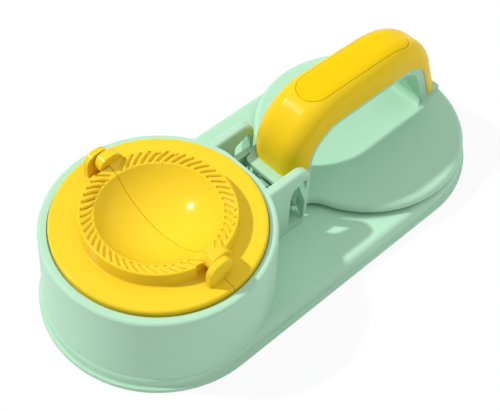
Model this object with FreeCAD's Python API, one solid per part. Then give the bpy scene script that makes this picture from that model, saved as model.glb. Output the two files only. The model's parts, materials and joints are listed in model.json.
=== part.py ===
import FreeCAD, Part
import math
import os

os.makedirs("parts", exist_ok=True)
V = FreeCAD.Vector

# Lengths in millimetres. X runs from the drum to the pressing disc, Z is up, the feet stand on Z = 0.
overrun = 2.0
wall = 3.0

# Base: a stadium-shaped foot with a tall drum at one end and a low platform at the other
centre_distance = 153.0
drum_radius = 60.0
drum_draft = 1.4
rim_height = 57.0
rim_wall = 4.5
rim_round = 1.8
platform_height = 12.0
platform_step = 0.6
platform_round = 4.2
flange_width = 1.6
flange_height = 2.6
flange_fillet = 1.4
foot_stand = 1.0

# Underside ribs and rubber feet
rib_thickness = 2.0
rib_lift = 1.6
rib_ring_radius = 33.0
foot_radius = 6.0
foot_socket_depth = 1.0
foot_socket_gap = 0.1
foot_boss_wall = 1.8
foot_inset = 9.0
foot_angle = 40.0

# Hinge ears that carry the lever, and the flat on the drum between them
ear_gap = 37.0
ear_thickness = 6.0
ear_length = 25.0
ear_corner = 10.0
ear_foot_taper = 3.0
ear_round = 1.8
flat_depth = 2.2
window_length = 11.5
window_back_strip = 3.4
window_bottom_lift = 3.5
window_top_strip = 6.0
window_slant = 5.5
window_round = 2.6

# Lever pivot
pin_radius = 2.0
pin_chamfer_share = 0.25
pivot_offset = 8.2
pivot_height = 35.0
pin_press_gap = 0.02
pin_running_gap = 0.06
pin_end_depth = 3.6
lug_radius = 5.4
lug_thickness = 3.6
lug_side_gap = 0.8

# Lever: pressing disc, neck and the leg between the ears
disc_radius = 61.0
disc_thickness = 4.0
disc_round = 3.4
dough_gap = 3.0
stop_ring_radius = 52.0
stop_ring_width = 2.5
stop_ring_gap = 0.1
neck_curve_radius = 12.0
neck_straight = 1.5
shoulder_height = 41.0
shoulder_thickness = 2.4
tongue_gap = 13.9
tongue_width = 26.0
tongue_round = 4.0
leg_slope_rise = 19.0
leg_wall = 3.4
leg_front_set = 1.0

# Handle: a bowed bar from the leg to the far side of the disc, in side view
handle_front = 20.0
handle_top = 82.5
handle_front_bend_share = 0.82
handle_rear_bend_share = 0.84
handle_rear_lean = 22.5
handle_tip_lift = 5.6
handle_tip_inset = 5.2
leg_depth = 13.7
bar_front_depth = 17.0
bar_rear_depth = 21.7
bar_front_bend_share = 0.9
bar_rear_bend_share = 0.674
tip_depth = 10.8
handle_front_width = 33.0
handle_rear_width = 25.0
handle_round_share = 0.92
cover_wall = 2.5
strip_thickness = 3.0
strip_side_gap = 0.4
rear_leg_thickness = 6.0
rear_foot_flare = 2.4
rear_foot_web = 4.0
inlay_length = 80.0
inlay_width = 19.0
inlay_thickness = 1.2
inlay_gap = 0.3
inlay_centre_share = 0.46

# Screws that hold the cover to the bar
screw_shares = (0.28, 0.68)
screw_radius = 1.4
screw_head_radius = 2.7
screw_head_height = 1.3
screw_length = 11.0
screw_seat = 1.6
screw_thread_gap = 0.02
screw_head_gap = 0.3
screw_drive_width = 0.8
screw_drive_depth = 0.7
boss_radius = 3.4
boss_tip_gap = 1.5

# Folding mould: two half plates with a ruffled ring round a smooth bowl
mould_gap = 0.8
plate_proud = 3.2
plate_edge_height = 4.8
plate_edge_width = 2.6
plate_thickness = 3.0
plate_edge_round = 1.4
ledge_width = 3.5
ledge_thickness = 3.0
ring_radius = 39.6
ring_height = 8.2
ring_draft = 0.5
ring_foot_fillet = 0.9
ring_top_round = 0.8
ruffle_width = 8.0
ruffle_drop = 2.2
bowl_depth = 15.5
mould_skin = 2.4
parting_gap = 0.15

# Ruffles pressed into the sloping band
ruffles_per_half = 24
ruffle_skew = 46.0
ruffle_groove_width = 2.2
ruffle_groove_depth = 0.95
ruffle_span = 166.0
groove_inner_share = 0.6
groove_outer_share = 0.45

# Mould hinge: a knuckle on each half at both ends of the parting line, side by side on the hinge axis
knuckle_radius = 5.2
knuckle_reach = 9.0
knuckle_shoulder = 6.5
knuckle_inset = 1.6
inner_knuckle_length = 5.7
outer_knuckle_length = 3.8
knuckle_end_gap = 0.35
knuckle_side_gap = 0.6
knuckle_round = 1.0
stub_radius = 1.8
stub_gap = 0.06
stub_end_gap = 0.4
knuckle_bore_floor = 1.0
axis_lift = 0.1

# Heights and places worked out from the sizes above
drum_x = -centre_distance / 2
press_x = centre_distance / 2
platform_radius = drum_radius + drum_draft + platform_step
flange_radius = platform_radius + flange_width
platform_underside = platform_height - wall
hollow_radius = drum_radius - wall
flat_x = drum_x + drum_radius - flat_depth
ear_inner = ear_gap / 2
ear_outer = ear_inner + ear_thickness
ear_back_x = drum_x + drum_radius + ear_length
pivot_x = flat_x + pivot_offset
disc_bottom = platform_height + dough_gap
disc_top = disc_bottom + disc_thickness
lever_half = ear_inner - lug_side_gap
handle_front_x = flat_x + handle_front
leg_back_x = handle_front_x + leg_depth
tip_height = disc_top + handle_tip_lift
tip_x = press_x + disc_radius - handle_tip_inset
handle_round = handle_round_share * tip_depth
handle_front_bend = handle_front_bend_share * (handle_top - shoulder_height)
handle_rear_bend = handle_rear_bend_share * (handle_top - tip_height)
bar_front_height = handle_top - bar_front_depth
bar_rear_height = handle_top - bar_rear_depth
bar_front_bend = bar_front_bend_share * (bar_front_height - shoulder_height)
bar_rear_bend = bar_rear_bend_share * (bar_rear_height - tip_height)
strip_leg_x = leg_back_x + strip_thickness
seat_radius = drum_radius - rim_wall
mould_radius = seat_radius - mould_gap
plate_top = rim_height + plate_proud
ledge_top = plate_top - plate_edge_height
ledge_bottom = ledge_top - ledge_thickness
ledge_radius = mould_radius - ledge_width
ring_top = plate_top + ring_height
lip_radius = ring_radius - ruffle_width
lip_height = ring_top - ruffle_drop
axis_height = ring_top + axis_lift
far = 4 * centre_distance
tolerance = 0.01


def side_point(u, v):
    return V(u, 0, v)


def plan_point(u, v):
    return V(u, v, 0)


def rounded_wire(corners, place):
    """Closed outline through corners (u, v, radius), each corner rounded by its own radius."""
    arcs = []
    ends = []
    for i, (u, v, radius) in enumerate(corners):
        here = V(u, v, 0)
        back = V(corners[i - 1][0], corners[i - 1][1], 0) - here
        ahead = V(corners[(i + 1) % len(corners)][0], corners[(i + 1) % len(corners)][1], 0) - here
        back.normalize()
        ahead.normalize()
        if radius == 0:
            ends.append((here, here))
            continue
        half = back.getAngle(ahead) / 2
        inward = back + ahead
        inward.normalize()
        start = here + back * (radius / math.tan(half))
        middle = here + inward * (radius / math.sin(half) - radius)
        end = here + ahead * (radius / math.tan(half))
        ends.append((start, end))
        through = [place(p.x, p.y) for p in (start, middle, end)]
        arcs.append(Part.Arc(*through).toShape())
    lines = []
    for i, (start, end) in enumerate(ends):
        before = ends[i - 1][1]
        if not before.isEqual(start, tolerance):
            lines.append(Part.makeLine(place(before.x, before.y), place(start.x, start.y)))
    return Part.Wire(Part.__sortEdges__(arcs + lines))


def side_prism(corners, inner_y, outer_y):
    """A side-view outline drawn out along Y."""
    face = Part.Face(rounded_wire(corners, side_point))
    face.translate(V(0, inner_y, 0))
    return face.extrude(V(0, outer_y - inner_y, 0))


def plan_prism(corners, bottom, top):
    """A plan-view outline drawn out along Z."""
    face = Part.Face(rounded_wire(corners, plan_point))
    face.translate(V(0, 0, bottom))
    return face.extrude(V(0, 0, top - bottom))


def stadium(start_x, end_x, radius, bottom, top):
    """A plan outline with a half circle at each end."""
    start = [V(start_x, y, bottom) for y in (-radius, radius)]
    end = [V(end_x, y, bottom) for y in (-radius, radius)]
    edges = [
        Part.makeLine(start[0], end[0]),
        Part.Arc(end[0], V(end_x + radius, 0, bottom), end[1]).toShape(),
        Part.makeLine(end[1], start[1]),
        Part.Arc(start[1], V(start_x - radius, 0, bottom), start[0]).toShape(),
    ]
    return Part.Face(Part.Wire(edges)).extrude(V(0, 0, top - bottom))


def upright(radius, x, y, bottom, top):
    return Part.makeCylinder(radius, top - bottom, V(x, y, bottom))


def crosswise(radius, x, z, start_y, end_y):
    return Part.makeCylinder(radius, end_y - start_y, V(x, start_y, z), V(0, 1, 0))


def block(x0, x1, y0, y1, z0, z1):
    return Part.makeBox(x1 - x0, y1 - y0, z1 - z0, V(x0, y0, z0))


def mirrored(shape):
    """The same shape on the other side of the lengthwise middle plane."""
    return shape.mirror(V(0, 0, 0), V(0, 1, 0))


def edges_where(shape, test):
    """The edges whose middle point passes the test."""
    return [e for e in shape.Edges if test(e.valueAt((e.FirstParameter + e.LastParameter) / 2))]


def level(z):
    return lambda p: abs(p.z - z) < tolerance


def extended(path, length):
    """An open path with its first and last stretch made longer."""
    ends = []
    for tip, root in ((path[0], path[1]), (path[-1], path[-2])):
        stretch = math.hypot(tip[0] - root[0], tip[1] - root[1])
        growth = length / stretch
        ends.append((tip[0] + (tip[0] - root[0]) * growth, tip[1] + (tip[1] - root[1]) * growth, 0))
    return [ends[0]] + path[1:-1] + [ends[1]]


def inset(path, distance):
    """An open path moved sideways, to the right of its own direction; its bends get tighter."""
    lines = []
    for (u0, v0, _), (u1, v1, _) in zip(path, path[1:]):
        du, dv = u1 - u0, v1 - v0
        shift = distance / math.hypot(du, dv)
        lines.append((u0 + dv * shift, v0 - du * shift, du, dv))
    moved = [(lines[0][0], lines[0][1], 0)]
    for corner, (u, v, du, dv), (s, t, ds, dt) in zip(path[1:-1], lines, lines[1:]):
        share = ((s - u) * dt - (t - v) * ds) / (du * dt - dv * ds)
        moved.append((u + du * share, v + dv * share, corner[2] - distance))
    u, v, du, dv = lines[-1]
    moved.append((u + du, v + dv, 0))
    return moved


# Base housing: outer form first, then everything that is hollow


def ear_profile():
    front_x = drum_x + ledge_radius
    return [
        (front_x, foot_stand + flange_height, 0),
        (front_x, rim_height, 0),
        (ear_back_x, rim_height, ear_corner),
        (ear_back_x, disc_top + ear_foot_taper, ear_corner),
        (ear_back_x - ear_foot_taper, foot_stand + flange_height, 0),
    ]


def window_profile():
    back_x = ear_back_x - window_back_strip
    front_x = back_x - window_length
    bottom = platform_height + window_bottom_lift
    top = rim_height - window_top_strip
    return [
        (front_x, bottom, window_round),
        (front_x, top - window_slant, window_round),
        (back_x, top, window_round),
        (back_x, bottom, window_round),
    ]


def ear():
    plate = side_prism(ear_profile(), ear_inner, ear_outer)
    middle_y = (ear_inner + ear_outer) / 2

    def above_platform(p):
        on_side = abs(p.y - middle_y) > ear_thickness / 2 - tolerance
        return on_side and p.x > drum_x + drum_radius and p.z > platform_height

    return plate.makeFillet(ear_round, edges_where(plate, above_platform))


def foot_places():
    reach = platform_radius - foot_inset
    along = reach * math.cos(math.radians(foot_angle))
    across = reach * math.sin(math.radians(foot_angle))
    return [(x, y) for x in (drum_x - along, press_x + along) for y in (-across, across)]


def base_housing():
    platform = stadium(drum_x, press_x, platform_radius, foot_stand, platform_height)
    platform = platform.makeFillet(platform_round, edges_where(platform, level(platform_height)))
    flange_top = foot_stand + flange_height
    flange = stadium(drum_x, press_x, flange_radius, foot_stand, flange_top)
    foot = platform.fuse(flange).removeSplitter()
    corner = edges_where(foot, lambda p: level(flange_top)(p) and abs(p.y) < platform_radius + tolerance
                         and math.hypot(max(abs(p.x) - press_x, 0), p.y) < platform_radius + tolerance)
    foot = foot.makeFillet(flange_fillet, corner)
    drum_foot = V(drum_x, 0, foot_stand)
    drum = Part.makeCone(drum_radius + drum_draft, drum_radius, rim_height - foot_stand, drum_foot)
    drum = drum.makeFillet(rim_round, edges_where(drum, level(rim_height)))
    outer = foot.fuse([drum, ear(), mirrored(ear())])

    hollow_foot = stadium(drum_x, press_x, hollow_radius, foot_stand - overrun, platform_underside)
    hollow_drum = upright(hollow_radius, drum_x, 0, foot_stand - overrun, ledge_bottom)
    hollow_drum = hollow_drum.common(block(-far, flat_x - wall, -far, far, -far, far))
    below_ledge = upright(ledge_radius, drum_x, 0, foot_stand, rim_height)
    seat = upright(seat_radius, drum_x, 0, ledge_top, rim_height + overrun)
    flat = block(flat_x, drum_x + drum_radius + overrun, -ear_inner, ear_inner,
                 platform_height, rim_height + overrun)
    windows = side_prism(window_profile(), -ear_outer - overrun, ear_outer + overrun)
    base = outer.cut([hollow_foot, hollow_drum, below_ledge, seat, flat, windows]).removeSplitter()

    rib_bottom = foot_stand + rib_lift
    rib_top = platform_height - wall / 2
    rib_half = rib_thickness / 2
    cavity = stadium(drum_x, press_x, hollow_radius + wall / 2, rib_bottom, rib_top)
    drum_skirt = upright(hollow_radius + rib_thickness, drum_x, 0, rib_bottom, rib_top)
    drum_skirt = drum_skirt.cut(upright(hollow_radius, drum_x, 0, 0, rim_height))
    drum_skirt = drum_skirt.common(block(drum_x, far, -far, far, 0, far))
    ring = upright(rib_ring_radius + rib_half, press_x, 0, rib_bottom, rib_top)
    ring = ring.cut(upright(rib_ring_radius - rib_half, press_x, 0, 0, rim_height))
    lengthwise = block(drum_x + drum_radius - wall / 2, far, -rib_half, rib_half, 0, rim_height)
    crosswise_rib = block(press_x - rib_half, press_x + rib_half, -far, far, 0, rim_height)
    ribs = [lengthwise.common(cavity), crosswise_rib.common(cavity), ring, drum_skirt]
    boss_outer = foot_radius + foot_socket_gap + foot_boss_wall
    bosses = [upright(boss_outer, x, y, foot_stand, rib_top) for x, y in foot_places()]
    base = base.fuse(ribs + bosses)

    socket_radius = foot_radius + foot_socket_gap
    socket_top = foot_stand + foot_socket_depth
    sockets = [upright(socket_radius, x, y, foot_stand - overrun, socket_top) for x, y in foot_places()]
    pin_bore = crosswise(pin_radius + pin_press_gap, pivot_x, pivot_height, -ear_inner - pin_end_depth, far)
    return base.cut(sockets + [pin_bore]).removeSplitter()


def rubber_foot(x, y):
    foot = upright(foot_radius, x, y, 0, foot_stand + foot_socket_depth)
    return foot.makeChamfer(foot_stand / 2, edges_where(foot, level(0)))


# Lever: disc and neck, the leg between the ears, the bar under the handle cover


def crown_path():
    return [
        (handle_front_x, shoulder_height, 0),
        (handle_front_x, handle_top, handle_front_bend),
        (tip_x - handle_rear_lean, handle_top, handle_rear_bend),
        (tip_x, tip_height, 0),
    ]


def bar_path():
    lean = handle_rear_lean / (handle_top - tip_height)
    inner_tip_x = tip_x - tip_depth
    return [
        (leg_back_x, shoulder_height, 0),
        (leg_back_x, bar_front_height, bar_front_bend),
        (inner_tip_x - lean * (bar_rear_height - tip_height), bar_rear_height, bar_rear_bend),
        (inner_tip_x, tip_height, 0),
    ]


def under_path():
    """The underside of the bar, thicker along the rear leg."""
    lean = handle_rear_lean / (handle_top - tip_height)
    rear_x = tip_x - tip_depth - rear_leg_thickness
    front_z = bar_front_height - strip_thickness
    rear_z = bar_rear_height - strip_thickness
    return [
        (strip_leg_x, shoulder_height, 0),
        (strip_leg_x, front_z, bar_front_bend - strip_thickness),
        (rear_x - lean * (rear_z - tip_height), rear_z, bar_rear_bend - strip_thickness),
        (rear_x, tip_height, 0),
    ]


def between_paths(upper, lower):
    return upper + lower[::-1]


def taper_prism(front_half, rear_half):
    """The plan outline of the handle, narrower at its far end."""
    slope = (front_half - rear_half) / (tip_x - handle_front_x)
    start_x = handle_front_x - overrun
    end_x = tip_x + overrun
    start_half = front_half + slope * overrun
    end_half = rear_half - slope * overrun
    corners = [
        (start_x, -start_half, 0),
        (end_x, -end_half, 0),
        (end_x, end_half, 0),
        (start_x, start_half, 0),
    ]
    return plan_prism(corners, 0, handle_top + overrun)


def across_handle(corners):
    """A side-view outline drawn out wider than the handle on both sides."""
    return side_prism(corners, -handle_front_width, handle_front_width)


def handle_form(upper, lower, side_inset, rounding):
    """The handle between two side-view paths, with rounded upper edges."""
    front_half = handle_front_width / 2 - side_inset
    rear_half = handle_rear_width / 2 - side_inset
    form = across_handle(between_paths(upper, lower))
    form = form.common(taper_prism(front_half, rear_half))
    outline = rounded_wire(between_paths(upper, lower), side_point)
    lower_outline = rounded_wire(between_paths(inset(lower, -tolerance), lower), side_point)

    def on_crown(p):
        spot = Part.Vertex(p.x, 0, p.z)
        near_outline = spot.distToShape(outline)[0] < tolerance
        off_lower = spot.distToShape(lower_outline)[0] > strip_thickness / 2
        off_ends = min(abs(p.z - upper[0][1]), abs(p.z - upper[-1][1])) > tolerance
        return near_outline and off_lower and off_ends and abs(p.y) > rear_half / 2

    return form.makeFillet(rounding, edges_where(form, on_crown))


def bar_height(x):
    """The height of the bar's upper side, bends included, at a lengthwise place."""
    side_view = Part.Face(rounded_wire(between_paths(crown_path(), bar_path()), side_point))
    plumb_line = Part.makeLine(side_point(x, 0), side_point(x, handle_top + overrun))
    return min(vertex.Z for vertex in side_view.common(plumb_line).Vertexes)


def screw_places():
    """Lengthwise place of each screw and the height of the bar's underside there."""
    start_x, end_x = leg_back_x, bar_path()[2][0]
    places = [start_x + share * (end_x - start_x) for share in screw_shares]
    return [(x, bar_height(x) - strip_thickness) for x in places]


def disc_outline():
    """Disc and neck in plan, as one face at the disc's underside."""
    curve_y = lever_half + neck_curve_radius
    reach = disc_radius + neck_curve_radius
    curve_x = press_x - math.sqrt(reach * reach - curve_y * curve_y)
    lean = math.atan2(curve_y, press_x - curve_x)
    touch = V(press_x - disc_radius * math.cos(lean), -disc_radius * math.sin(lean), 0)
    middle_angle = (math.pi / 2 - lean) / 2 + lean
    middle = V(curve_x + neck_curve_radius * math.cos(middle_angle),
               -curve_y + neck_curve_radius * math.sin(middle_angle), 0)
    neck = V(curve_x, -lever_half, 0)

    def other(p):
        return V(p.x, -p.y, p.z)

    front_x = curve_x - neck_straight
    front = V(front_x, -lever_half, 0)
    edges = [
        Part.makeLine(other(front), front),
        Part.makeLine(front, neck),
        Part.Arc(neck, middle, touch).toShape(),
        Part.Arc(touch, V(press_x + disc_radius, 0, 0), other(touch)).toShape(),
        Part.Arc(other(touch), other(middle), other(neck)).toShape(),
        Part.makeLine(other(neck), other(front)),
    ]
    return Part.Face(Part.Wire(edges)), front_x


def press_lever():
    face, neck_front_x = disc_outline()
    face.translate(V(0, 0, disc_bottom))
    disc = face.extrude(V(0, 0, disc_thickness))
    disc = disc.makeFillet(disc_round, edges_where(disc, lambda p: level(disc_top)(p)
                                                   and p.x > neck_front_x + tolerance))
    stop_bottom = platform_height + stop_ring_gap
    stop_ring = upright(stop_ring_radius + stop_ring_width, press_x, 0, stop_bottom, disc_bottom)
    stop_ring = stop_ring.cut(upright(stop_ring_radius, press_x, 0, 0, disc_bottom))

    leg_front_x = handle_front_x - leg_front_set
    leg_half = handle_front_width / 2 - strip_side_gap
    leg = side_prism([
        (leg_front_x, shoulder_height, 0),
        (leg_front_x, disc_bottom + leg_slope_rise, 0),
        (neck_front_x, disc_bottom, 0),
        (strip_leg_x, disc_bottom, 0),
        (strip_leg_x, shoulder_height, 0),
    ], -leg_half, leg_half)
    pocket_half = leg_half - leg_wall
    pocket = block(leg_front_x - overrun, leg_back_x, -pocket_half, pocket_half,
                   disc_top, shoulder_height - shoulder_thickness)
    tongue_x = flat_x + tongue_gap
    tongue = plan_prism([
        (tongue_x, -tongue_width / 2, tongue_round),
        (tongue_x, tongue_width / 2, tongue_round),
        (leg_front_x + leg_wall, tongue_width / 2, 0),
        (leg_front_x + leg_wall, -tongue_width / 2, 0),
    ], shoulder_height - shoulder_thickness, shoulder_height)
    lug = side_prism([
        (pivot_x, pivot_height + lug_radius, 0),
        (pivot_x, pivot_height - lug_radius, 0),
        (leg_front_x + leg_wall, pivot_height - lug_radius, 0),
        (leg_front_x + leg_wall, pivot_height + lug_radius, 0),
    ], lever_half - lug_thickness, lever_half)
    lug = lug.fuse(crosswise(lug_radius, pivot_x, pivot_height, lever_half - lug_thickness, lever_half))

    foot_half = handle_rear_width / 2 - strip_side_gap
    strip = across_handle(between_paths(extended(bar_path(), wall), extended(under_path(), wall)))
    strip = strip.common(taper_prism(leg_half, foot_half))
    foot_front_x = under_path()[-1][0]
    foot_root = disc_top - disc_thickness / 2
    toe_x = foot_front_x - 2 * rear_foot_web
    flare = foot_half + 2 * rear_foot_flare
    across = side_prism([
        (-foot_half, tip_height, 0),
        (-foot_half, disc_top, rear_foot_flare),
        (-flare, disc_top, 0),
        (-flare, foot_root, 0),
        (flare, foot_root, 0),
        (flare, disc_top, 0),
        (foot_half, disc_top, rear_foot_flare),
        (foot_half, tip_height, 0),
    ], -tip_x, -toe_x)
    across.rotate(V(0, 0, 0), V(0, 0, 1), 90)
    foot = across.common(side_prism([
        (foot_front_x, tip_height, 0),
        (foot_front_x, disc_top, rear_foot_web),
        (toe_x, disc_top, 0),
        (toe_x, foot_root, 0),
        (tip_x, foot_root, 0),
        (tip_x, tip_height, 0),
    ], -flare, flare))

    lever = disc.fuse([foot, stop_ring, leg.cut(pocket), tongue, lug, mirrored(lug), strip])
    bore = crosswise(pin_radius + pin_running_gap, pivot_x, pivot_height, -far, far)
    cuts = [bore]
    shank_hole = screw_radius + screw_head_gap
    head_hole = screw_head_radius + screw_head_gap
    for x, seat_z in screw_places():
        cuts.append(upright(shank_hole, x, 0, seat_z - overrun, seat_z + 2 * strip_thickness))
        cuts.append(upright(head_hole, x, 0, seat_z - wall, seat_z + screw_seat))
    return lever.cut(cuts).removeSplitter()


def lever_pin():
    start_y = -ear_inner - pin_end_depth
    pin = crosswise(pin_radius, pivot_x, pivot_height, start_y, ear_outer)

    def at_end(p):
        return min(abs(p.y - start_y), abs(p.y - ear_outer)) < tolerance

    return pin.makeChamfer(pin_radius * pin_chamfer_share, edges_where(pin, at_end))


# Handle cover, its inlay and the screws


def under_crown(depth):
    """The handle's form with its crown and its sides set back by so much, running out past both ends."""
    crown = inset(extended(crown_path(), overrun), depth)
    bar = inset(extended(bar_path(), overrun), overrun)
    return handle_form(crown, bar, depth, handle_round - depth)


def oval(margin):
    middle_x = handle_front_x + inlay_centre_share * (tip_x - handle_front_x)
    straight = (inlay_length - inlay_width) / 2
    radius = inlay_width / 2 + margin
    return stadium(middle_x - straight, middle_x + straight, radius, 0, handle_top + overrun)


def handle_cover():
    outer = handle_form(crown_path(), bar_path(), 0, handle_round)
    boss_top = handle_top - cover_wall / 2
    bosses = [upright(boss_radius, x, 0, 0, boss_top).common(outer) for x, _ in screw_places()]
    shell = outer.cut(under_crown(cover_wall)).fuse(bosses)
    pilot_radius = screw_radius + screw_thread_gap
    pilot_rise = screw_seat + screw_length - screw_head_height + boss_tip_gap
    pilots = [upright(pilot_radius, x, 0, 0, z + pilot_rise) for x, z in screw_places()]
    recess = oval(inlay_gap).cut(under_crown(inlay_thickness))
    return shell.cut(pilots + [recess]).removeSplitter()


def handle_inlay():
    crown = handle_form(crown_path(), bar_path(), 0, handle_round)
    return crown.common(oval(0)).cut(under_crown(inlay_thickness))


def handle_screw(x, seat_z):
    head_top = seat_z + screw_seat
    head_bottom = head_top - screw_head_height
    head = upright(screw_head_radius, x, 0, head_bottom, head_top)
    shank = upright(screw_radius, x, 0, head_top, head_top + screw_length)
    drive_half = screw_drive_width / 2
    drive = block(x - screw_head_radius, x + screw_head_radius, -drive_half, drive_half,
                  head_bottom, head_bottom + screw_drive_depth)
    turned = drive.copy()
    turned.rotate(V(x, 0, 0), V(0, 0, 1), 90)
    arm = screw_head_radius * math.sqrt(1 / 2)
    cross = drive.fuse(turned).common(upright(arm, x, 0, 0, handle_top))
    return head.fuse(shank).cut(cross).removeSplitter()


# Folding mould


def mould_profile():
    """Half section of the round mould, from the bowl's middle outwards and back underneath."""
    ball = (lip_radius * lip_radius + bowl_depth * bowl_depth) / (2 * bowl_depth)
    ball_z = lip_height - bowl_depth + ball
    under = ball + mould_skin
    join_r = lip_radius + mould_skin / 2
    inner_r = ring_radius - mould_skin
    inner_z = lip_height + (inner_r - lip_radius) * ruffle_drop / ruffle_width - mould_skin
    ring_foot_r = ring_radius + ring_draft
    edge_inner_r = mould_radius - plate_edge_width
    underside = plate_top - plate_thickness
    bevel = math.sqrt(1 / 2)

    def at(r, z):
        return V(drum_x + r, 0, z)

    def rounding(r, z, radius):
        """A quarter circle from the level line at z to the upright line at r, hollow if negative."""
        middle = radius * (1 - bevel)
        return [at(r - radius, z), at(r - middle, z - middle), at(r, z - radius)]

    def on_ball(radius, r):
        return at(r, ball_z - math.sqrt(radius * radius - r * r))

    top_arc = rounding(ring_radius, ring_top, ring_top_round)
    foot_arc = rounding(ring_foot_r, plate_top, -ring_foot_fillet)[::-1]
    edge_arc = rounding(mould_radius, plate_top, plate_edge_round)
    bowl_arc = [on_ball(ball, 0), on_ball(ball, lip_radius / 2), on_ball(ball, lip_radius)]
    under_arc = [on_ball(under, join_r), on_ball(under, join_r / 2), on_ball(under, 0)]
    steps = [at(mould_radius, ledge_top), at(edge_inner_r, ledge_top), at(edge_inner_r, underside),
             at(inner_r, underside), at(inner_r, inner_z)]
    edges = [Part.Arc(*arc).toShape() for arc in (bowl_arc, top_arc, foot_arc, edge_arc, under_arc)]
    runs = [[bowl_arc[-1], top_arc[0]], [top_arc[-1], foot_arc[0]], [foot_arc[-1], edge_arc[0]],
            [edge_arc[-1]] + steps + [under_arc[0]], [under_arc[-1], bowl_arc[0]]]
    for run in runs:
        for start, end in zip(run, run[1:]):
            edges.append(Part.makeLine(start, end))
    return Part.Face(Part.Wire(Part.__sortEdges__(edges)))


def ruffle_groove(angle, side):
    """One slanted flute with round ends in the sloping band of the half on the given side (+1 or -1)."""
    slope = ruffle_drop / ruffle_width
    middle_r = (lip_radius + ring_radius) / 2
    skew = math.radians(ruffle_skew)
    middle_z = lip_height + (middle_r - lip_radius) * slope
    spot = V(middle_r * math.cos(angle), middle_r * math.sin(angle), middle_z)
    along = V(math.cos(angle - skew), math.sin(angle - skew), slope * math.cos(skew))
    along.normalize()
    up = V(-slope * math.cos(angle), -slope * math.sin(angle), 1)
    up.normalize()
    half_run = ruffle_width / 2 / math.cos(skew)
    half_width = ruffle_groove_width / 2
    radius = (half_width * half_width / ruffle_groove_depth + ruffle_groove_depth) / 2
    centre = spot + up * (radius - ruffle_groove_depth)
    start = centre - along * (half_run * groove_inner_share)
    end = centre + along * (half_run * groove_outer_share)
    flute = Part.makeCylinder(radius, start.distanceToPoint(end), start, along)
    across = up.cross(along)
    flute = flute.fuse([Part.makeSphere(radius, place, across) for place in (start, end)])
    if side < 0:
        flute = flute.mirror(V(0, 0, 0), V(1, 0, 0))
    flute.translate(V(drum_x, 0, 0))
    return flute


def knuckle(side, start_y, end_y):
    """A loaf-shaped knuckle on the given half, rounded about the hinge axis over the other half."""
    floor = plate_top - plate_thickness
    top = axis_height + knuckle_radius
    shoulder = top - knuckle_shoulder
    shoulder_in = knuckle_reach - knuckle_shoulder
    bevel = knuckle_shoulder * math.sqrt(1 / 2)
    under = axis_height - math.sqrt(knuckle_radius * knuckle_radius - parting_gap * parting_gap)

    def at(u, z):
        return V(drum_x + side * u, start_y, z)

    shoulder_middle = at(shoulder_in + bevel, shoulder + bevel)
    shoulder_arc = [at(knuckle_reach, shoulder), shoulder_middle, at(shoulder_in, top)]
    edges = [
        Part.makeLine(at(parting_gap, floor), at(knuckle_reach, floor)),
        Part.makeLine(at(knuckle_reach, floor), at(knuckle_reach, shoulder)),
        Part.Arc(*shoulder_arc).toShape(),
        Part.makeLine(at(shoulder_in, top), at(0, top)),
        Part.Arc(at(0, top), at(-knuckle_radius, axis_height), at(parting_gap, under)).toShape(),
        Part.makeLine(at(parting_gap, under), at(parting_gap, floor)),
    ]
    loaf = Part.Face(Part.Wire(edges)).extrude(V(0, end_y - start_y, 0))

    def at_end(p):
        off_parting = abs(p.x - drum_x - side * parting_gap) > tolerance
        return abs(p.y - end_y) < tolerance and p.z > plate_top and off_parting

    return loaf.makeFillet(knuckle_round, edges_where(loaf, at_end))


def mould_half(side):
    """One half of the mould: +1 folds, -1 stays in the drum."""
    whole = mould_profile().revolve(V(drum_x, 0, 0), V(0, 0, 1), 360)
    kept = [drum_x + side * parting_gap, drum_x + side * far]
    half = whole.common(block(min(kept), max(kept), -far, far, 0, far))
    spread = math.radians(ruffle_span) / ruffles_per_half
    angles = [(i + 1 / 2 - ruffles_per_half / 2) * spread for i in range(ruffles_per_half)]
    half = half.cut([ruffle_groove(angle, side) for angle in angles])

    inner_start = ring_radius - knuckle_inset
    inner_end = inner_start + inner_knuckle_length
    outer_start = inner_end + knuckle_end_gap
    outer_end = outer_start + outer_knuckle_length
    bore_end = outer_end - knuckle_bore_floor
    if side > 0:
        loaf = knuckle(side, inner_start, inner_end)
        stub = crosswise(stub_radius, drum_x, axis_height, inner_end - stub_radius, bore_end - stub_end_gap)
        return half.fuse([loaf, mirrored(loaf), stub, mirrored(stub)]).removeSplitter()
    loaf = knuckle(side, outer_start, outer_end)
    notch_reach = knuckle_reach + knuckle_side_gap
    notch = block(drum_x - notch_reach, drum_x, inner_start - knuckle_side_gap, outer_start, plate_top, far)
    bore = crosswise(stub_radius + stub_gap, drum_x, axis_height, outer_start - knuckle_end_gap, bore_end)
    half = half.cut([notch, mirrored(notch)]).fuse([loaf, mirrored(loaf)])
    return half.cut([bore, mirrored(bore)]).removeSplitter()


nodes = {
    "base_housing": base_housing(),
    "mould_half_fixed": mould_half(-1),
    "mould_half_folding": mould_half(1),
    "press_lever": press_lever(),
    "lever_pin": lever_pin(),
    "handle_cover": handle_cover(),
    "handle_inlay": handle_inlay(),
}
for number, (x, z) in enumerate(screw_places(), 1):
    nodes[f"handle_screw_{number}"] = handle_screw(x, z)
for number, (x, y) in enumerate(foot_places(), 1):
    nodes[f"rubber_foot_{number}"] = rubber_foot(x, y)

for name, shape in nodes.items():
    solids = shape.Solids
    print(name, "solids", len(solids), "valid", shape.isValid(), "volume mm3", round(shape.Volume))
    (solids[0] if len(solids) == 1 else shape).exportStep(f"parts/{name}.step")
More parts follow.
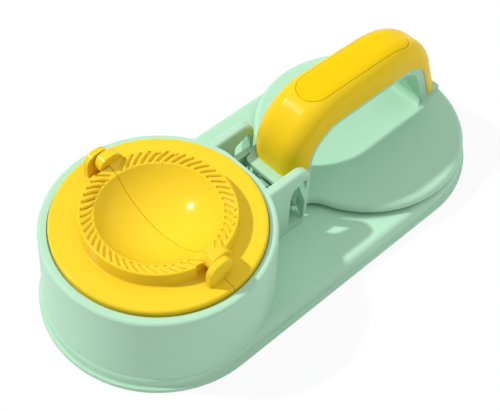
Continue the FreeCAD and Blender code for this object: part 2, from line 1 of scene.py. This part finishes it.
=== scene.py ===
# %% [markdown]
# # A two-in-one dumpling press, dressed for its photograph
# The press has a mint base with a tall drum at one end and a low platform at the other.
# A yellow folding mould sits in the drum, and a lever with a bowed yellow handle swings over the platform.
# The construction comes ready-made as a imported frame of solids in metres. This lesson adds what the solids
# lack: the camera, the light, the finishes, and the soft ridges of the mould.

# %% Load the frame
import json
import math
import bmesh
import bpy
from mathutils import Matrix, Vector


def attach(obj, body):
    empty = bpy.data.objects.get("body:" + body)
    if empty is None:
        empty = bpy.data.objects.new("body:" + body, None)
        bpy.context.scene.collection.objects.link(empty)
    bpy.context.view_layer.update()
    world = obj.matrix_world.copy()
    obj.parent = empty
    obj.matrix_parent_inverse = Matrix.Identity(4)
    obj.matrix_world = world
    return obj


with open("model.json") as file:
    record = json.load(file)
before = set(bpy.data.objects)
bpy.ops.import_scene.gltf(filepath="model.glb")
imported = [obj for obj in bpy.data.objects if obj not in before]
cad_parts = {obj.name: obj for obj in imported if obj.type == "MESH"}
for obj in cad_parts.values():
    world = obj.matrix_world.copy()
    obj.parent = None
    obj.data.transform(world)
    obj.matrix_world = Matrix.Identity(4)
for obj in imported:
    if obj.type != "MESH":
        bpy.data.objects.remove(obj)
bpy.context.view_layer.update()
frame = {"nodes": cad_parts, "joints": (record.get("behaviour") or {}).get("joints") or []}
nodes = frame["nodes"]
scene = bpy.context.scene
print("solids:", ", ".join(sorted(nodes)))

# %% [markdown]
# ## The camera
# The photograph looks down on the press from the drum's side, a little tilted. A camera could be placed by
# eye, but here its direction, distance and focal length were worked out from points whose place on the press
# is known, so the edges fall within a few pixels of the photograph's. The lens is given as a focal length in
# pixels of the 500 pixel wide frame.

# %% Camera
view_azimuth = math.radians(-47.241)
view_elevation = math.radians(51.184)
view_roll = math.radians(4.474)
view_distance = 0.64951
view_target = Vector((-0.01263, -0.00144, 0.020))
frame_width_px = 500
focal_px = 1192.07
nearest_seen = 0.01
farthest_seen = 20.0

away = Vector((
    math.sin(view_azimuth) * math.cos(view_elevation),
    -math.cos(view_azimuth) * math.cos(view_elevation),
    math.sin(view_elevation),
))
level_right = (-away).cross(Vector((0, 0, 1))).normalized()
level_up = level_right.cross(-away)
right = level_right * math.cos(view_roll) + level_up * math.sin(view_roll)
up = level_up * math.cos(view_roll) - level_right * math.sin(view_roll)

lens = bpy.data.cameras.new("photo_camera")
lens.sensor_fit = "HORIZONTAL"
lens.lens = lens.sensor_width * focal_px / frame_width_px
lens.clip_start = nearest_seen
lens.clip_end = farthest_seen
camera = bpy.data.objects.new("photo_camera", lens)
scene.collection.objects.link(camera)
turn = Matrix((right, up, away)).transposed().to_4x4()
camera.matrix_world = Matrix.Translation(view_target + away * view_distance) @ turn
scene.camera = camera
print("camera at", [round(v, 4) for v in camera.location], "lens", round(lens.lens, 2), "mm")

# %% [markdown]
# ## The sun at the window
# The press was lit by one bright lamp from the far left, half way up the sky: the handle throws a clear
# shadow over the pressing disc, and its edge is only a little soft. An area lamp could do it, but its light
# would spread, and the shadows in the photograph run parallel. A sun lamp is always parallel, and its angle
# sets how soft the edge is.

# %% Sun
scene.view_settings.view_transform = "Standard"
sun_travel = Vector((0.61, -0.72, -1.0))
sun_strength = 2.45
sun_width = math.radians(2.5)
sun_tint = (1.0, 0.985, 0.955)
sun = bpy.data.lights.new("window_sun", "SUN")
sun.energy = sun_strength
sun.angle = sun_width
sun.color = sun_tint
sun_object = bpy.data.objects.new("window_sun", sun)
sun_object.rotation_euler = sun_travel.to_track_quat("-Z", "Y").to_euler()
sun_object.location = -sun_travel
scene.collection.objects.link(sun_object)
print("sun", sun.energy, "from", [round(-v, 2) for v in sun_travel])

# %% [markdown]
# ## Boxes and wires
# The room, the finishes and the mould's ridges are all node trees: small programs made of boxes and wires.
# They could be drawn in Blender's node editor, but written down they can be read and changed. A few helpers
# keep them short: one adds a box and sets its values, one also wires up its inputs in order, and two more
# name the boxes that are used most. The first tree is the room's, which starts empty.

# %% Node helpers and an empty room
def new_node(tree, kind, **settings):
    """Adds a node and sets its properties and its sockets, named by their labels."""
    node = tree.nodes.new(kind)
    for name, value in settings.items():
        label = name.replace("_", " ")
        if label in node.inputs:
            node.inputs[label].default_value = value
        else:
            setattr(node, name, value)
    return node


def wired_node(tree, kind, *terms, **settings):
    """Adds a node fed in order with plain values or other nodes' outputs; returns its first output."""
    node = new_node(tree, kind, **settings)
    for socket, term in zip(node.inputs, terms):
        if isinstance(term, bpy.types.NodeSocket):
            tree.links.new(term, socket)
        else:
            socket.default_value = term
    return node.outputs[0]


def arithmetic(tree, operation, *terms):
    return wired_node(tree, "ShaderNodeMath", *terms, operation=operation)


def combine(tree, *terms):
    return wired_node(tree, "ShaderNodeCombineXYZ", *terms)


world = bpy.data.worlds.new("white_room")
scene.world = world
world.use_nodes = True
room = world.node_tree
room.nodes.clear()
print("world", world.name, "with", len(room.nodes), "nodes")

# %% [markdown]
# ## The white room
# The shaded sides stay pale because a white ceiling and a white wall on the right throw light back, while the
# left of the room is dim, so slots that open that way are darker. The world could be one even tone, but then
# every nook would fill up. So its strength follows the direction: each bright side is strongest straight on
# and falls off all round. The camera and reflections see plain white instead, which gives the white
# background without more light on the plastic.

# %% Room light
ceiling_side = Vector((0, 0, 1))
ceiling_strength = 0.84
wall_side = Vector((0.6, -0.4, 0.65)).normalized()
wall_strength = 0.73
side_falloff = 2.0
room_tint = (0.975, 0.99, 1.0, 1)
plain_white = (1, 1, 1, 1)
white_level = 1.0


def bright_side(tree, direction, side, strength):
    """Light from one side of the room, strongest straight on; returns the output with its strength."""
    toward = new_node(tree, "ShaderNodeVectorMath", operation="DOT_PRODUCT")
    toward.inputs[1].default_value = side
    tree.links.new(direction, toward.inputs[0])
    facing = arithmetic(tree, "MAXIMUM", toward.outputs["Value"], 0.0)
    return arithmetic(tree, "MULTIPLY", arithmetic(tree, "POWER", facing, side_falloff), strength)


def seen_directly(tree):
    """1 for rays from the camera, a reflection or a glass, and 0 for light that bounces between surfaces."""
    ray = new_node(tree, "ShaderNodeLightPath").outputs
    mirrored = arithmetic(tree, "MAXIMUM", ray["Is Glossy Ray"], ray["Is Transmission Ray"])
    return arithmetic(tree, "MAXIMUM", ray["Is Camera Ray"], mirrored)


direction = new_node(room, "ShaderNodeTexCoord").outputs["Generated"]
ceiling = bright_side(room, direction, ceiling_side, ceiling_strength)
wall = bright_side(room, direction, wall_side, wall_strength)
ambient = wired_node(room, "ShaderNodeBackground", room_tint, arithmetic(room, "ADD", ceiling, wall))
white = wired_node(room, "ShaderNodeBackground", plain_white, white_level)
shown = wired_node(room, "ShaderNodeMixShader", seen_directly(room), ambient, white)
room.links.new(shown, new_node(room, "ShaderNodeOutputWorld").inputs["Surface"])
print("ceiling", ceiling_strength, "wall", wall_strength)

# %% [markdown]
# ## The floor
# The press stands on a white sheet that runs out of the picture. It throws a lot of light up against the
# drum, so its colour counts for the looks of the sides too. It could be one bright white, but that would
# throw up more light still. So for the camera and reflections a share of the white is the sheet's own glow,
# which keeps the background white and leaves a faint shadow round the press.

# %% Floor
floor_reach = 3.0
floor_glow_share = 0.90
sheet_white = (0.88, 0.88, 0.88, 1)
floor_mesh = bpy.data.meshes.new("white_floor")
corners = [(-floor_reach, -floor_reach, 0), (floor_reach, -floor_reach, 0),
           (floor_reach, floor_reach, 0), (-floor_reach, floor_reach, 0)]
floor_mesh.from_pydata(corners, [], [(0, 1, 2, 3)])
floor = bpy.data.objects.new("white_floor", floor_mesh)
scene.collection.objects.link(floor)
paper = bpy.data.materials.new("white_paper")
paper.use_nodes = True
tree = paper.node_tree
tree.nodes.clear()
sheet = wired_node(tree, "ShaderNodeBsdfDiffuse", sheet_white)
glow = wired_node(tree, "ShaderNodeEmission", plain_white, white_level)
lit = wired_node(tree, "ShaderNodeMixShader", floor_glow_share, sheet, glow)
shown = wired_node(tree, "ShaderNodeMixShader", seen_directly(tree), sheet, lit)
tree.links.new(shown, new_node(tree, "ShaderNodeOutputMaterial").inputs["Surface"])
floor_mesh.materials.append(paper)
print("floor", 2 * floor_reach, "m wide")

# %% [markdown]
# ## Two effects that the plastics share
# Moulded plastic is never one flat colour. Its pigment drifts a little from place to place, the tool's
# polished or blasted steel leaves a fine skin, and handling leaves faint rubbed marks. Each could be drawn
# again in every material. A node group draws it once, and each material sets its own sizes and strengths.

# %% Shared node groups
sheen_scale = 90.0
patch_scale = 18.0
streak_turn = (0.2, 0.1, 0.65)
streak_stretch = (1, 14, 14)


def new_group(name, inputs, outputs):
    """An empty shader group with its sockets; returns the tree, its input node and its output node."""
    group = bpy.data.node_groups.new(name, "ShaderNodeTree")
    for label, kind, value in inputs:
        socket = group.interface.new_socket(label, in_out="INPUT", socket_type=kind)
        socket.default_value = value
    for label, kind in outputs:
        group.interface.new_socket(label, in_out="OUTPUT", socket_type=kind)
    return group, group.nodes.new("NodeGroupInput"), group.nodes.new("NodeGroupOutput")


def moulded_skin_group():
    """Drifting pigment, fine skin and uneven gloss of a moulded plastic."""
    group, given, result = new_group(
        "moulded_skin",
        [("Thin Tint", "NodeSocketColor", (1, 1, 1, 1)), ("Full Tint", "NodeSocketColor", (1, 1, 1, 1)),
         ("Drift Scale", "NodeSocketFloat", 30.0), ("Skin Scale", "NodeSocketFloat", 2500.0),
         ("Low Roughness", "NodeSocketFloat", 0.3), ("High Roughness", "NodeSocketFloat", 0.5)],
        [("Color", "NodeSocketColor"), ("Roughness", "NodeSocketFloat"), ("Height", "NodeSocketFloat")])
    place = new_node(group, "ShaderNodeTexCoord")
    drift = new_node(group, "ShaderNodeTexNoise", Detail=3.0, Roughness=0.55)
    skin = new_node(group, "ShaderNodeTexNoise", Detail=2.0, Roughness=0.6)
    sheen = new_node(group, "ShaderNodeTexNoise", Scale=sheen_scale, Detail=4.0)
    tint = new_node(group, "ShaderNodeMix", data_type="RGBA")
    gloss = new_node(group, "ShaderNodeMapRange", From_Min=0.3, From_Max=0.7)
    for texture in (drift, skin, sheen):
        group.links.new(place.outputs["Object"], texture.inputs["Vector"])
    group.links.new(given.outputs["Drift Scale"], drift.inputs["Scale"])
    group.links.new(given.outputs["Skin Scale"], skin.inputs["Scale"])
    group.links.new(drift.outputs["Fac"], tint.inputs["Factor"])
    group.links.new(given.outputs["Thin Tint"], tint.inputs["A"])
    group.links.new(given.outputs["Full Tint"], tint.inputs["B"])
    group.links.new(sheen.outputs["Fac"], gloss.inputs["Value"])
    group.links.new(given.outputs["Low Roughness"], gloss.inputs["To Min"])
    group.links.new(given.outputs["High Roughness"], gloss.inputs["To Max"])
    group.links.new(tint.outputs["Result"], result.inputs["Color"])
    group.links.new(gloss.outputs["Result"], result.inputs["Roughness"])
    group.links.new(skin.outputs["Fac"], result.inputs["Height"])
    return group


def handling_marks_group():
    """Faint rubbed streaks in patches, which make the surface a little duller."""
    group, given, result = new_group(
        "handling_marks",
        [("Clean Roughness", "NodeSocketFloat", 0.3), ("Scuff Gain", "NodeSocketFloat", 0.12),
         ("Streak Scale", "NodeSocketFloat", 60.0)],
        [("Roughness", "NodeSocketFloat"), ("Scuff", "NodeSocketFloat")])
    place = new_node(group, "ShaderNodeTexCoord")
    drawn_out = new_node(group, "ShaderNodeMapping", Rotation=streak_turn, Scale=streak_stretch)
    streak = new_node(group, "ShaderNodeTexNoise", Detail=5.0, Roughness=0.7)
    patch = new_node(group, "ShaderNodeTexNoise", Scale=patch_scale, Detail=2.0)
    thin = new_node(group, "ShaderNodeMapRange", From_Min=0.56, From_Max=0.72)
    local = new_node(group, "ShaderNodeMapRange", From_Min=0.46, From_Max=0.66)
    scuff = new_node(group, "ShaderNodeMath", operation="MULTIPLY")
    dull = new_node(group, "ShaderNodeMath", operation="MULTIPLY_ADD", use_clamp=True)
    group.links.new(place.outputs["Object"], drawn_out.inputs["Vector"])
    group.links.new(drawn_out.outputs["Vector"], streak.inputs["Vector"])
    group.links.new(given.outputs["Streak Scale"], streak.inputs["Scale"])
    group.links.new(place.outputs["Object"], patch.inputs["Vector"])
    group.links.new(streak.outputs["Fac"], thin.inputs["Value"])
    group.links.new(patch.outputs["Fac"], local.inputs["Value"])
    group.links.new(thin.outputs["Result"], scuff.inputs[0])
    group.links.new(local.outputs["Result"], scuff.inputs[1])
    group.links.new(scuff.outputs[0], dull.inputs[0])
    group.links.new(given.outputs["Scuff Gain"], dull.inputs[1])
    group.links.new(given.outputs["Clean Roughness"], dull.inputs[2])
    group.links.new(dull.outputs[0], result.inputs["Roughness"])
    group.links.new(scuff.outputs[0], result.inputs["Scuff"])
    return group


moulded_skin = moulded_skin_group()
handling_marks = handling_marks_group()
for group in (moulded_skin, handling_marks):
    print("group", group.name, "sockets:", [socket.name for socket in group.interface.items_tree])

# %% [markdown]
# ## The plastics
# The base and the lever are a satin mint plastic and the mould a glossier yellow one. The handle's yellow is
# a little duller and fuller, and the oval inlay in it a polished, deeper yellow. They could be four separate
# materials, but they differ only in tint, gloss and skin, so one function makes all four from the shared
# groups. What is the same all over, such as a coat, is set on the shader.

# %% Plastics
plastic_ior = 1.49
coat_roughness = 0.17
skin_strength = 0.25


def plastic(name, thin, full, low, high, skin_scale, skin_depth, specular, coat, scuff):
    """A plastic with two tints and two roughnesses to drift between, a skin, a gloss, a coat and scuffs."""
    material = bpy.data.materials.new(name)
    material.use_nodes = True
    tree = material.node_tree
    shader = tree.nodes["Principled BSDF"]
    shader.inputs["IOR"].default_value = plastic_ior
    shader.inputs["Specular IOR Level"].default_value = specular
    shader.inputs["Coat Weight"].default_value = coat
    shader.inputs["Coat Roughness"].default_value = coat_roughness
    skin = new_node(
        tree, "ShaderNodeGroup", node_tree=moulded_skin, Thin_Tint=(*thin, 1), Full_Tint=(*full, 1),
        Skin_Scale=skin_scale, Low_Roughness=low, High_Roughness=high)
    marks = new_node(tree, "ShaderNodeGroup", node_tree=handling_marks, Scuff_Gain=scuff)
    bump = new_node(tree, "ShaderNodeBump", Strength=skin_strength, Distance=skin_depth)
    tree.links.new(skin.outputs["Color"], shader.inputs["Base Color"])
    tree.links.new(skin.outputs["Roughness"], marks.inputs["Clean Roughness"])
    tree.links.new(marks.outputs["Roughness"], shader.inputs["Roughness"])
    tree.links.new(skin.outputs["Height"], bump.inputs["Height"])
    tree.links.new(bump.outputs["Normal"], shader.inputs["Normal"])
    return material


mint_plastic = plastic(
    "mint_plastic", thin=(0.457, 0.718, 0.537), full=(0.427, 0.688, 0.506), low=0.36, high=0.46,
    skin_scale=2600, skin_depth=0.00003, specular=0.1, coat=0.0, scuff=0.10)
yellow_plastic = plastic(
    "yellow_plastic", thin=(0.870, 0.615, 0.032), full=(0.850, 0.585, 0.022), low=0.18, high=0.26,
    skin_scale=1800, skin_depth=0.00002, specular=0.05, coat=0.07, scuff=0.12)
handle_yellow = plastic(
    "handle_yellow_plastic", thin=(0.885, 0.615, 0.022), full=(0.860, 0.585, 0.015), low=0.22, high=0.30,
    skin_scale=1800, skin_depth=0.00002, specular=0.03, coat=0.06, scuff=0.12)
deep_yellow = plastic(
    "deep_yellow_plastic", thin=(0.870, 0.580, 0.004), full=(0.845, 0.550, 0.003), low=0.20, high=0.28,
    skin_scale=1500, skin_depth=0.00001, specular=0.03, coat=0.05, scuff=0.14)
print("plastics:", mint_plastic.name, yellow_plastic.name, handle_yellow.name, deep_yellow.name)

# %% [markdown]
# ## Steel and rubber
# The hinge pin and the two screws are turned from steel rod, which leaves fine rings along the cut. The rings
# could be modelled as grooves, but they are far too fine, so a noise that is squeezed along the rod draws
# them. The four feet are soft grey rubber with a dull, slightly grainy face: the plastic's groups give that
# too, with a rougher setting.

# %% Steel and rubber
dark_steel = (0.50, 0.51, 0.52, 1)
light_steel = (0.66, 0.66, 0.65, 1)
steel_low_roughness = 0.2
steel_high_roughness = 0.42
ring_strength = 0.3
ring_depth = 0.00002
along_rod = 5200
across_rod = 40


def turned_steel(name, ring_scale):
    """Steel with turning marks, fine in the direction of the rod and coarse across it."""
    material = bpy.data.materials.new(name)
    material.use_nodes = True
    tree = material.node_tree
    shader = tree.nodes["Principled BSDF"]
    shader.inputs["Metallic"].default_value = 1.0
    place = new_node(tree, "ShaderNodeTexCoord")
    rings = new_node(tree, "ShaderNodeMapping", Scale=ring_scale)
    cut = new_node(tree, "ShaderNodeTexNoise", Scale=1.0, Detail=3.0)
    shade = new_node(tree, "ShaderNodeMix", data_type="RGBA")
    shade.inputs["A"].default_value = dark_steel
    shade.inputs["B"].default_value = light_steel
    gloss = new_node(tree, "ShaderNodeMapRange", To_Min=steel_low_roughness, To_Max=steel_high_roughness)
    bump = new_node(tree, "ShaderNodeBump", Strength=ring_strength, Distance=ring_depth)
    tree.links.new(place.outputs["Object"], rings.inputs["Vector"])
    tree.links.new(rings.outputs["Vector"], cut.inputs["Vector"])
    tree.links.new(cut.outputs["Fac"], shade.inputs["Factor"])
    tree.links.new(cut.outputs["Fac"], gloss.inputs["Value"])
    tree.links.new(cut.outputs["Fac"], bump.inputs["Height"])
    tree.links.new(shade.outputs["Result"], shader.inputs["Base Color"])
    tree.links.new(gloss.outputs["Result"], shader.inputs["Roughness"])
    tree.links.new(bump.outputs["Normal"], shader.inputs["Normal"])
    return material


pin_steel = turned_steel("pin_steel", (across_rod, along_rod, across_rod))
screw_steel = turned_steel("screw_steel", (across_rod, across_rod, along_rod))
rubber = plastic(
    "rubber", thin=(0.30, 0.31, 0.31), full=(0.25, 0.26, 0.26), low=0.78, high=0.92,
    skin_scale=3200, skin_depth=0.00006, specular=0.3, coat=0.0, scuff=0.06)
print("steel and rubber:", pin_steel.name, screw_steel.name, rubber.name)

# %% [markdown]
# Each solid of the frame now takes its finish. Its mesh stays as it came, and only its material changes.

# %% Finish of each solid
finish_of = {
    "base_housing": mint_plastic, "press_lever": mint_plastic,
    "mould_half_fixed": yellow_plastic, "mould_half_folding": yellow_plastic,
    "handle_cover": handle_yellow, "handle_inlay": deep_yellow,
    "lever_pin": pin_steel, "handle_screw_1": screw_steel, "handle_screw_2": screw_steel,
    "rubber_foot_1": rubber, "rubber_foot_2": rubber, "rubber_foot_3": rubber, "rubber_foot_4": rubber,
}
for name, material in finish_of.items():
    nodes[name].data.materials.clear()
    nodes[name].data.materials.append(material)
print("finished solids:", len(finish_of))

# %% [markdown]
# ## The ruffles' soft ridges
# The two halves of the mould pinch the dough between slanted flutes round the bowl. On the real mould the
# crests between the flutes are soft and round, like the strands of a rope. Each could be modelled by hand,
# but there are 23 on the folding half, all alike. So a Geometry Nodes tree sweeps one tapered strand, sets a
# point for each crest on the sloping band and puts a strand on each point, turned along its flute. The tree's
# inputs are the mould's own sizes. Crests are numbered from the middle of each half. The fixed half lacks the
# first one, where the other half's knuckle comes down when the mould is folded.

# %% Ridge sizes
hinge_place = next(joint["pos_m"] for joint in frame["joints"] if joint["name"] == "mould_fold")
mould_centre_x = hinge_place[0]
hinge_lift = 0.0001
ring_radius = 0.0396
band_width = 0.008
band_drop = 0.0022
flutes_per_half = 24
flute_span = math.radians(166)
flute_skew = math.radians(46)
ridge_from_rim = 0.0044
ridge_length = 0.0112
ridge_half_width = 0.00125
ridge_sink = 0.00058
ridge_bow = 0.0012
ridge_points = 9
ridge_sides = 10
ridge_end_share = 0.03

band_slope = band_drop / band_width
ridge_radius = ring_radius - ridge_from_rim
ridge_height = hinge_place[2] - hinge_lift - ridge_from_rim * band_slope - ridge_sink
ridge_pitch = flute_span / flutes_per_half
last_ridge = flutes_per_half // 2 - 1
print("ridges on a ring of radius", round(ridge_radius, 5), "at height", round(ridge_height, 5))


# %% [markdown]
# The tree works out the angle, place and heading of every strand at once. Such a value, which differs from
# point to point, is called a field, and its sums are arithmetic boxes like any other.

# %% Ridge tree
def strand(tree, given):
    """One strand along X, bowed to one side, round in section and drawn out to nothing at both ends."""
    half = arithmetic(tree, "MULTIPLY", given["Length"], 0.5)
    aside = arithmetic(tree, "MULTIPLY", given["Bow"], given["Side"])
    back = arithmetic(tree, "MULTIPLY", aside, -0.5)
    line = new_node(tree, "GeometryNodeCurveQuadraticBezier")
    tree.links.new(combine(tree, arithmetic(tree, "MULTIPLY", half, -1), back, 0), line.inputs["Start"])
    tree.links.new(combine(tree, 0, arithmetic(tree, "MULTIPLY", aside, 1.5), 0), line.inputs["Middle"])
    tree.links.new(combine(tree, half, back, 0), line.inputs["End"])
    spaced = new_node(tree, "GeometryNodeResampleCurve", Count=ridge_points)
    tree.links.new(line.outputs["Curve"], spaced.inputs["Curve"])
    along = new_node(tree, "GeometryNodeSplineParameter").outputs["Factor"]
    from_middle = arithmetic(tree, "MULTIPLY_ADD", along, 2, -1)
    fallen = arithmetic(tree, "MULTIPLY", from_middle, from_middle)
    taper = arithmetic(tree, "SQRT", arithmetic(tree, "MULTIPLY_ADD", fallen, ridge_end_share - 1, 1))
    section = new_node(tree, "GeometryNodeCurvePrimitiveCircle", Resolution=ridge_sides)
    tree.links.new(given["Half Width"], section.inputs["Radius"])
    swept = new_node(tree, "GeometryNodeCurveToMesh", Fill_Caps=True)
    tree.links.new(taper, swept.inputs["Scale"])
    tree.links.new(spaced.outputs["Curve"], swept.inputs["Curve"])
    tree.links.new(section.outputs["Curve"], swept.inputs["Profile Curve"])
    return swept.outputs["Mesh"]


def ridge_tree():
    """Strands round half a ring; Side is +1 or -1 for the half on the +X or the -X side."""
    tree = bpy.data.node_groups.new("ruffle_ridges", "GeometryNodeTree")
    tree.interface.new_socket("Geometry", in_out="OUTPUT", socket_type="NodeSocketGeometry")
    kinds = [
        ("Side", "Float"), ("Count", "Int"), ("First", "Int"), ("Pitch", "Float"), ("Skew", "Float"),
        ("Slope", "Float"), ("Centre X", "Float"), ("Radius", "Float"), ("Height", "Float"),
        ("Length", "Float"), ("Half Width", "Float"), ("Bow", "Float"), ("Finish", "Material"),
    ]
    for label, kind in kinds:
        tree.interface.new_socket(label, in_out="INPUT", socket_type="NodeSocket" + kind)
    given = tree.nodes.new("NodeGroupInput").outputs
    index = new_node(tree, "GeometryNodeInputIndex").outputs[0]
    angle = arithmetic(tree, "MULTIPLY", arithmetic(tree, "ADD", index, given["First"]), given["Pitch"])
    out_x = arithmetic(tree, "MULTIPLY", arithmetic(tree, "COSINE", angle), given["Radius"])
    x = arithmetic(tree, "MULTIPLY_ADD", out_x, given["Side"], given["Centre X"])
    y = arithmetic(tree, "MULTIPLY", arithmetic(tree, "SINE", angle), given["Radius"])
    heading = arithmetic(tree, "SUBTRACT", angle, given["Skew"])
    run_x = arithmetic(tree, "MULTIPLY", arithmetic(tree, "COSINE", heading), given["Side"])
    run_y = arithmetic(tree, "SINE", heading)
    run_z = arithmetic(tree, "MULTIPLY", arithmetic(tree, "COSINE", given["Skew"]), given["Slope"])
    spots = new_node(tree, "GeometryNodePoints")
    tree.links.new(given["Count"], spots.inputs["Count"])
    tree.links.new(combine(tree, x, y, given["Height"]), spots.inputs["Position"])
    turned = new_node(tree, "FunctionNodeAlignRotationToVector", axis="X")
    tree.links.new(combine(tree, run_x, run_y, run_z), turned.inputs["Vector"])
    placed = new_node(tree, "GeometryNodeInstanceOnPoints")
    tree.links.new(spots.outputs[0], placed.inputs["Points"])
    tree.links.new(strand(tree, given), placed.inputs["Instance"])
    tree.links.new(turned.outputs[0], placed.inputs["Rotation"])
    real = wired_node(tree, "GeometryNodeRealizeInstances", placed.outputs[0])
    smooth = wired_node(tree, "GeometryNodeSetShadeSmooth", real)
    dressed = new_node(tree, "GeometryNodeSetMaterial")
    tree.links.new(smooth, dressed.inputs["Geometry"])
    tree.links.new(given["Finish"], dressed.inputs["Material"])
    tree.links.new(dressed.outputs[0], tree.nodes.new("NodeGroupOutput").inputs[0])
    return tree


ridges = ridge_tree()
print("tree", ridges.name, "with", len(ridges.nodes), "nodes")


# %% [markdown]
# One half stays in the drum and the other folds over it, so each half gets a mesh of its own that rides on
# its body. The modifier is only a tool here: its result is copied to a plain mesh, and the modifier goes.

# %% Ridges on each half
def ridge_mesh(name, side, first):
    """The tree's strands for one half, from crest number first to the last, as a plain mesh."""
    carrier = bpy.data.objects.new(name + "_tool", bpy.data.meshes.new(name + "_tool"))
    scene.collection.objects.link(carrier)
    tool = carrier.modifiers.new("ruffle_ridges", "NODES")
    tool.node_group = ridges
    sizes = {
        "Side": float(side), "Count": last_ridge - first + 1, "First": first, "Pitch": ridge_pitch,
        "Skew": flute_skew, "Slope": band_slope,
        "Centre X": mould_centre_x, "Radius": ridge_radius, "Height": ridge_height,
        "Length": ridge_length, "Half Width": ridge_half_width, "Bow": ridge_bow, "Finish": yellow_plastic,
    }
    for socket in ridges.interface.items_tree:
        if socket.in_out == "INPUT":
            tool[socket.identifier] = sizes[socket.name]
    evaluated = carrier.evaluated_get(bpy.context.evaluated_depsgraph_get())
    mesh = bpy.data.meshes.new_from_object(evaluated)
    bpy.data.objects.remove(carrier)
    return mesh


weld_distance = 1e-7
halves = (
    ("ruffle_ridges_fixed", -1, 1 - last_ridge, "base"),
    ("ruffle_ridges_folding", 1, -last_ridge, "mould_flap"),
)
for name, side, first, body in halves:
    mesh = ridge_mesh(name, side, first)
    shell = bmesh.new()
    shell.from_mesh(mesh)
    bmesh.ops.remove_doubles(shell, verts=shell.verts, dist=weld_distance)
    bmesh.ops.recalc_face_normals(shell, faces=shell.faces)
    shell.to_mesh(mesh)
    volume = shell.calc_volume(signed=True)
    shell.free()
    piece = bpy.data.objects.new(name, mesh)
    scene.collection.objects.link(piece)
    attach(piece, body)
    print(name, "faces", len(mesh.polygons), "volume mm3", round(volume * 1e9, 1))
